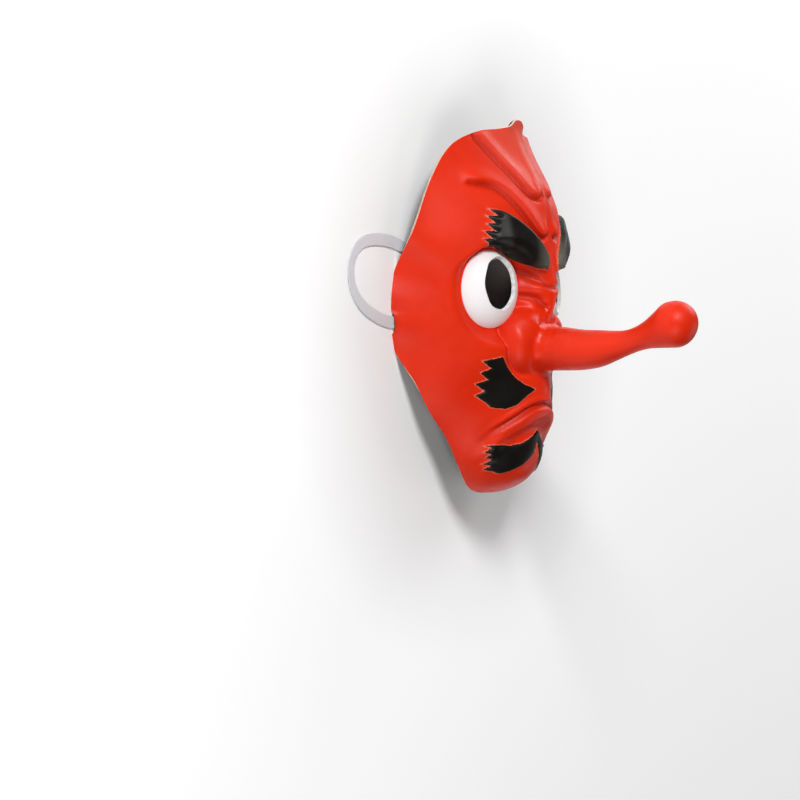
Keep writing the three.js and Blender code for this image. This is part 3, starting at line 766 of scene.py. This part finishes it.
def add_eye(shell, lining, mirror):
    """One bulging eyeball, from its pupil's cut edge out to a skirt that runs just under the face."""
    angle = np.arange(EYE_SIDES) / EYE_SIDES * 2 * math.pi * mirror
    ragged = 1 + sum(size * np.cos(turns * angle + shift) for size, turns, shift in PUPIL_WAVES)
    pupil = np.stack([PUPIL_HALF_WIDTH * np.cos(angle), PUPIL_HALF_HEIGHT * np.sin(angle)]) * ragged
    pupil += [[-PUPIL_INWARD], [PUPIL_UP]]
    edge = np.stack([EYE_HALF_WIDTH * np.cos(angle), EYE_HALF_HEIGHT * np.sin(angle)]) * EYE_SKIRT
    share = 1 - (1 - np.linspace(0, 1, EYE_ROWS)) ** EYE_CROWDING
    along, rise = (mix(pupil[k][None, :], edge[k][None, :], share[:, None]) for k in (0, 1))
    side, y = EYE_X + along * math.cos(EYE_TURN), EYE_Y + rise
    near = eye_share(side, y)
    bulge = EYE_BULGE * np.maximum(0, 1 - near * near) ** 0.75
    bulge -= SKIRT_SLOPE * EYE_HALF_WIDTH * np.maximum(0, near - 1)
    points = np.stack(
        [
            mirror * (side + math.sin(EYE_TURN) * bulge),
            y,
            eye_plane(side) + math.cos(EYE_TURN) * bulge,
        ],
        axis=-1,
    )
    normals = grid_normals(points.transpose(1, 0, 2)).transpose(1, 0, 2)
    wall = WALL * mix(1, 0.4, smooth(0.97, EYE_SKIRT, near))[..., None]
    back = points - normals * wall
    front = shell.add(points.reshape(-1, 3)).reshape(near.shape)
    edge_back = shell.add(back[0])
    inside = lining.add(back.reshape(-1, 3)).reshape(near.shape)
    front_turned, inside_turned = np.roll(front, -1, 1), np.roll(inside, -1, 1)
    for k in range(EYE_ROWS - 1):
        shell.quads(front[k], front[k + 1], front_turned[k + 1], front_turned[k], "paint")
        lining.quads(inside[k], inside_turned[k], inside_turned[k + 1], inside[k + 1], "raw")
    shell.quads(front[0], front_turned[0], np.roll(edge_back, -1), edge_back, "eye cut")
    shell.eyes.append((front.ravel(), ((1 - near) * EYE_HALF_WIDTH).ravel()))


def build_shell():
    """The carved outside with its cut edges, and the plain lining behind it, which has fewer rows."""
    columns = Columns()
    count, rows = columns.count, FACE_ROWS + 1
    share = 1 - (1 - np.arange(rows) / FACE_ROWS) ** FACE_CROWDING
    reach = mix(FACE_START, columns.reach[:, None], share[None, :])
    x = columns.aim[:, :1] * reach
    y = NOSE_Y + columns.aim[:, 1:] * reach

    plain = face_points(columns, x, y)
    normals = grid_normals(plain)
    fade = np.clip((FACE_ROWS - np.arange(rows)) / RIM_FADE_ROWS, 0, 1)
    outer = plain + normals * (carving(x, y) * fade)[..., None]
    inner = plain - normals * WALL
    inner[..., 2] = np.maximum(inner[..., 2], 0)
    inner[:, -1] = inner_rim(plain[:, -1], normals[:, -1])

    shell, lining = Surface(), Surface()
    face = shell.add_grid(outer, x, y, "paint", False)
    cut = shell.add(inner[:, -1])
    around = np.roll(np.arange(count), -1)
    shell.quads(face[:, -1], cut, cut[around], face[around, -1], "cut")
    tip = (0, NOSE_TIP_UP * HALF_HEIGHT, NOSE_REACH)
    shell.close_with(face[:, 0], nose_rings(columns, normals[:, 0]), tip, True, "paint")
    few = slice(None, None, INSIDE_STRIDE)
    back = lining.add_grid(inner[:, few], x[:, few], y[:, few], "raw", True)
    lining.close_with(back[:, 0], cup_rings(columns, inner[:, 0]), (0, NOSE_Y, NOSE_CUP_REACH), False, "raw")
    for mirror in (-1, 1):
        add_eye(shell, lining, mirror)
    return shell, lining, (x, y)


def new_object(name, points, faces):
    mesh = bpy.data.meshes.new(name)
    mesh.from_pydata(points, [], faces)
    mesh.update()
    piece = bpy.data.objects.new(name, mesh)
    bpy.context.collection.objects.link(piece)
    return piece


def drop_loose(piece):
    """Deletes the points that no face uses, such as those inside the pupils."""
    work = bmesh.new()
    work.from_mesh(piece.data)
    bmesh.ops.delete(work, geom=[v for v in work.verts if not v.link_faces], context="VERTS")
    work.to_mesh(piece.data)
    work.free()


def add_attribute(mesh, name, values):
    layer = mesh.attributes.new(name, "FLOAT", "POINT")
    layer.data.foreach_set("value", np.asarray(values, np.float32))


def make_shell_piece(name, surface, finishes):
    """One mesh of the mask, with a material for each finish, standing in for the shell's solid."""
    piece = new_object(name, (np.vstack(surface.points) * MM).tolist(), surface.faces)
    mesh = piece.data
    for material in finishes.values():
        mesh.materials.append(material)
    names = list(finishes)
    mesh.polygons.foreach_set("material_index", [names.index(f) for f in surface.finish])
    mesh.polygons.foreach_set("use_smooth", [True] * len(mesh.polygons))
    sharpen_between_finishes(mesh)
    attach(piece, "root")
    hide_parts("mask_shell")
    return piece


def make_mask():
    shell, lining, (x, y) = build_shell()
    finishes = {
        "paint": painted_latex(),
        "cut": cut_latex("rim_latex", RIM_PALE, RIM_WARM),
        "eye cut": cut_latex("pupil_latex", WHITE, EYE_CUT),
    }
    mask = make_shell_piece("mask", shell, finishes)
    side, up = np.abs(x).ravel(), y.ravel()
    count = len(mask.data.vertices)
    for name, shape in (("brow", BROW), ("moustache", MOUSTACHE), ("chin_tuft", CHIN_TUFT)):
        depth = np.full(count, FAR_OUTSIDE)
        depth[: len(side)] = depth_inside(shape, side, up)
        add_attribute(mask.data, name, depth)
    # The painted shade of the hollows, kept as a point attribute
    shade = np.zeros(count)
    shade[: len(side)] = hollow_shade(side, up)
    add_attribute(mask.data, "hollow", shade)
    place = np.vstack(shell.points) * [1 / HALF_WIDTH, 1 / HALF_HEIGHT, 1 / NOSE_REACH]
    root = np.hypot(place[:, 0] / 0.3, (place[:, 1] + 0.15) / 0.26)
    add_attribute(mask.data, "hammered", smooth(1, 0.4, root) * smooth(0.62, 0.48, place[:, 2]))
    add_attribute(mask.data, "height_on_face", place[:, 1])
    add_attribute(mask.data, "side_on_face", np.abs(place[:, 0]))
    white = np.full(count, FAR_OUTSIDE)
    for where, depth in shell.eyes:
        white[where] = depth
    add_attribute(mask.data, "eye_white", white)
    drop_loose(mask)
    inside = make_shell_piece("mask_inside", lining, {"raw": raw_latex()})
    drop_loose(inside)


def sharpen_between_finishes(mesh):
    """Marks the edges between two finishes as sharp, so that the cut edges stay crisp."""
    material = {}
    for face in mesh.polygons:
        for key in face.edge_keys:
            material.setdefault(key, set()).add(face.material_index)
    sharp = [len(material[tuple(sorted(edge.vertices))]) > 1 for edge in mesh.edges]
    layer = mesh.attributes.new("sharp_edge", "BOOLEAN", "EDGE")
    layer.data.foreach_set("value", sharp)


def make_strap():
    route = np.array(STRAP_ROUTE)
    path = evenly(route, STRAP_STEP)
    ahead = np.gradient(path, axis=0)
    ahead /= np.linalg.norm(ahead, axis=1, keepdims=True)
    across = np.cross([0, 0, 1], ahead)
    for k in range(1, len(across)):
        if across[k] @ across[k - 1] < 0 or np.linalg.norm(across[k]) < STRAP_STEEP:
            across[k] = across[k - 1] - ahead[k] * (across[k - 1] @ ahead[k])
    across[0] = across[0] if np.linalg.norm(across[0]) > STRAP_STEEP else across[1]
    across /= np.linalg.norm(across, axis=1, keepdims=True)
    over = np.cross(ahead, across)
    width = np.linspace(-0.5, 0.5, STRAP_RIB_STEPS * STRAP_RIBS + 1)
    rib = np.abs(np.cos(width * STRAP_RIBS * math.pi))
    edge = np.sqrt(np.clip(1 - (np.abs(width) * 2) ** 10, 0, 1))
    half = (STRAP_THICKNESS / 2 - STRAP_RIB_DEPTH * rib) * mix(STRAP_EDGE, 1, edge)
    section = np.vstack([np.column_stack([width, half]), np.column_stack([width, -half])[::-1]])
    rings = path[:, None] + across[:, None] * (section[None, :, :1] * STRAP_WIDTH)
    rings = rings + over[:, None] * section[None, :, 1:]
    count, sides = rings.shape[:2]
    index = np.arange(count * sides).reshape(count, sides)
    turned = np.roll(index, -1, 1)
    quads = np.stack([index[:-1], index[1:], turned[1:], turned[:-1]], axis=-1).reshape(-1, 4).tolist()
    ends = [index[0].tolist(), index[-1, ::-1].tolist()]
    piece = new_object("strap", rings.reshape(-1, 3).tolist(), quads + ends)
    run = np.repeat(np.arange(count) * STRAP_STEP / MM, sides)
    add_attribute(piece.data, "along", run)
    add_attribute(piece.data, "across", np.tile(section[:, 0] * STRAP_WIDTH / MM, count))
    piece.data.materials.append(woven_elastic())
    piece.data.polygons.foreach_set("use_smooth", [True] * len(piece.data.polygons))
    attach(piece, "root")
    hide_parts("elastic_strap")


class Nodes:
    """A material's node tree, with short calls for the few kinds of node used here."""

    def __init__(self, name):
        self.material = bpy.data.materials.new(name)
        self.material.use_nodes = True
        self.tree = self.material.node_tree
        self.shader = self.tree.nodes["Principled BSDF"]

    def new(self, kind, **settings):
        node = self.tree.nodes.new(kind)
        for key, value in settings.items():
            if hasattr(node, key):
                setattr(node, key, value)
            else:
                node.inputs[key].default_value = value
        return node

    def link(self, output, target):
        self.tree.links.new(output, target)

    def attribute(self, name):
        return self.new("ShaderNodeAttribute", attribute_name=name).outputs["Fac"]

    def noise(self, scale, detail=3.0, vector=None):
        node = self.new("ShaderNodeTexNoise", Scale=scale, Detail=detail)
        self.link(vector or self.object_place(), node.inputs["Vector"])
        return node.outputs["Fac"]

    def object_place(self):
        return self.new("ShaderNodeTexCoord").outputs["Object"]

    def ranged(self, value, low, high, to_low=0.0, to_high=1.0):
        node = self.new("ShaderNodeMapRange")
        self.link(value, node.inputs["Value"])
        for key, number in (("From Min", low), ("From Max", high), ("To Min", to_low), ("To Max", to_high)):
            node.inputs[key].default_value = number
        return node.outputs["Result"]

    def math(self, operation, a, b):
        node = self.new("ShaderNodeMath", operation=operation)
        for value, socket in ((a, node.inputs[0]), (b, node.inputs[1])):
            if isinstance(value, (int, float)):
                socket.default_value = value
            else:
                self.link(value, socket)
        return node.outputs[0]

    def mixed(self, share, a, b):
        node = self.new("ShaderNodeMix", data_type="RGBA")
        self.link(share, node.inputs["Factor"])
        for value, socket in ((a, node.inputs[6]), (b, node.inputs[7])):
            if isinstance(value, tuple):
                socket.default_value = value
            else:
                self.link(value, socket)
        return node.outputs[2]

    def bump(self, height, distance, strength=1.0):
        node = self.new("ShaderNodeBump", Strength=strength, Distance=distance)
        self.link(height, node.inputs["Height"])
        self.link(node.outputs["Normal"], self.shader.inputs["Normal"])


def painted_latex():
    """Satin red paint on latex, with black brows and tufts in a thin pale line, and white eyes. A paler red
    at the crown and grey on the brows' inner ends are painted sheen; a darker red in the hollows is painted
    shade.
    """
    nodes = Nodes("painted_latex")
    up, side = nodes.attribute("height_on_face"), nodes.attribute("side_on_face")
    patchy = nodes.ranged(nodes.noise(28, 4), 0.35, 0.7)
    colour = nodes.mixed(patchy, RED, DEEP_RED)
    # Painted sheen: a paler red towards the top of the forehead and its middle
    crown = nodes.math("MULTIPLY", nodes.ranged(up, 0.45, 1.0), nodes.ranged(side, 0.45, 0.1))
    colour = nodes.mixed(nodes.math("MULTIPLY", crown, CROWN_SHEEN_SHARE), colour, CROWN_SHEEN_RED)
    # Painted shade: a darker red in the furrows, folds and corners of the carving
    hollow = nodes.math("MULTIPLY", nodes.attribute("hollow"), HOLLOW_SHADE_SHARE)
    colour = nodes.mixed(hollow, colour, HOLLOW_SHADE_RED)
    wobble = nodes.ranged(nodes.noise(900, 2), 0.3, 0.7, -0.25, 0.25)
    black = None
    for name in ("brow", "moustache", "chin_tuft"):
        depth = nodes.math("ADD", nodes.attribute(name), wobble)
        black = depth if black is None else nodes.math("MAXIMUM", black, depth)
    colour = nodes.mixed(nodes.ranged(black, -0.6, -0.3), colour, PALE_LINE)
    # Painted sheen: the black of the brows turns grey towards their inner ends
    inner = nodes.math("MULTIPLY", nodes.ranged(side, 0.24, 0.1), nodes.ranged(up, 0.0, 0.1))
    ink_with_sheen = nodes.mixed(inner, BLACK, BROW_SHEEN_GREY)
    colour = nodes.mixed(nodes.ranged(black, -0.15, 0.1), colour, ink_with_sheen)
    white = nodes.ranged(nodes.attribute("eye_white"), 0.1, 0.35)
    colour = nodes.mixed(white, colour, WHITE)
    nodes.link(colour, nodes.shader.inputs["Base Color"])
    hammered = nodes.attribute("hammered")
    satin = nodes.ranged(nodes.noise(160, 5), 0.3, 0.7, *PAINT_ROUGHNESS)
    polish = nodes.math("MULTIPLY", hammered, ROOT_POLISH)
    nodes.link(nodes.math("SUBTRACT", satin, polish), nodes.shader.inputs["Roughness"])
    nodes.shader.inputs["Specular IOR Level"].default_value = PAINT_SPECULAR
    dents = nodes.math("MULTIPLY", nodes.noise(260, 1), nodes.math("MULTIPLY", hammered, ROOT_DENTS))
    nodes.bump(nodes.math("ADD", nodes.noise(1400, 5), dents), 0.00008, 0.6)
    return nodes.material


def cut_latex(name, pale, warm):
    """A matt cut edge, of the rim or of the pupils."""
    nodes = Nodes(name)
    colour = nodes.mixed(nodes.ranged(nodes.noise(500, 3), 0.35, 0.65), pale, warm)
    nodes.link(colour, nodes.shader.inputs["Base Color"])
    nodes.shader.inputs["Roughness"].default_value = CUT_ROUGHNESS
    nodes.bump(nodes.noise(1600, 3), 0.0001, 0.5)
    return nodes.material


def raw_latex():
    """The dark inside of the casting, slightly mottled."""
    nodes = Nodes("raw_latex")
    colour = nodes.mixed(nodes.ranged(nodes.noise(60, 5), 0.3, 0.7), INSIDE, INSIDE_WORN)
    nodes.link(colour, nodes.shader.inputs["Base Color"])
    matt = nodes.ranged(nodes.noise(300, 4), 0.3, 0.7, *INSIDE_ROUGHNESS)
    nodes.link(matt, nodes.shader.inputs["Roughness"])
    nodes.shader.inputs["Specular IOR Level"].default_value = INSIDE_SPECULAR
    nodes.bump(nodes.noise(700, 5), 0.0002, 0.5)
    return nodes.material


def woven_elastic():
    """White braided elastic: lengthwise ribs crossed by fine weft, with a V in each rib."""
    nodes = Nodes("woven_elastic")
    rib = nodes.math("MULTIPLY", nodes.attribute("across"), 2 * math.pi * STRAP_RIBS / (STRAP_WIDTH / MM))
    slant = nodes.math("MULTIPLY", nodes.math("ABSOLUTE", nodes.math("SINE", rib, 0), 0), WEFT_SLANT)
    run = nodes.math("MULTIPLY", nodes.attribute("along"), WEFT_TURN)
    weft = nodes.math("SINE", nodes.math("ADD", run, slant), 0)
    height = nodes.ranged(weft, -1, 1)
    colour = nodes.mixed(height, ELASTIC_SHADE, ELASTIC)
    nodes.link(colour, nodes.shader.inputs["Base Color"])
    nodes.shader.inputs["Roughness"].default_value = ELASTIC_ROUGHNESS
    nodes.shader.inputs["Sheen Weight"].default_value = ELASTIC_SHEEN
    nodes.bump(height, 0.00012, 0.8)
    return nodes.material


def make_stage():
    corners = [(x * FLOOR_HALF, y * FLOOR_HALF, 0) for x, y in ((-1, -1), (1, -1), (1, 1), (-1, 1))]
    floor = new_object("floor", corners, [(0, 1, 2, 3)])
    nodes = Nodes("floor")
    nodes.shader.inputs["Base Color"].default_value = FLOOR
    nodes.shader.inputs["Emission Color"].default_value = FLOOR
    away = nodes.new("ShaderNodeVectorMath", operation="LENGTH")
    nodes.link(nodes.object_place(), away.inputs[0])
    glow = nodes.ranged(away.outputs["Value"], GLOW_FROM, GLOW_TO, 0, FLOOR_GLOW)
    nodes.link(glow, nodes.shader.inputs["Emission Strength"])
    nodes.shader.inputs["Roughness"].default_value = FLOOR_ROUGHNESS
    floor.data.materials.append(nodes.material)
    bpy.context.scene.world = studio_world()
    bpy.context.scene.view_settings.view_transform = "Standard"


def studio_world():
    """Bright all round and dark straight overhead, so that little light falls in through the pupils."""
    world = bpy.data.worlds.new("studio")
    world.use_nodes = True
    tree = world.node_tree
    place = tree.nodes.new("ShaderNodeTexCoord")
    parts = tree.nodes.new("ShaderNodeSeparateXYZ")
    level = tree.nodes.new("ShaderNodeMapRange")
    ranges = {
        "From Min": WORLD_DIMS_FROM,
        "From Max": WORLD_DIMS_TO,
        "To Min": WORLD_ROUND,
        "To Max": WORLD_OVERHEAD,
    }
    for key, value in ranges.items():
        level.inputs[key].default_value = value
    tree.links.new(place.outputs["Generated"], parts.inputs["Vector"])
    tree.links.new(parts.outputs["Z"], level.inputs["Value"])
    tree.links.new(level.outputs["Result"], tree.nodes["Background"].inputs["Strength"])
    return world


def area_light(name, place, target, size, power):
    light = bpy.data.lights.new(name, "AREA")
    light.shape = "RECTANGLE"
    light.size, light.size_y = size
    light.energy = power
    lamp = bpy.data.objects.new(name, light)
    lamp.location = place
    lamp.rotation_euler = (Vector(target) - Vector(place)).to_track_quat("-Z", "Y").to_euler()
    bpy.context.collection.objects.link(lamp)


def make_lights():
    for name, place, target, size, power in LIGHTS:
        area_light(name, place, target, size, power)


make_camera()
make_strap()
make_mask()
make_stage()
make_lights()
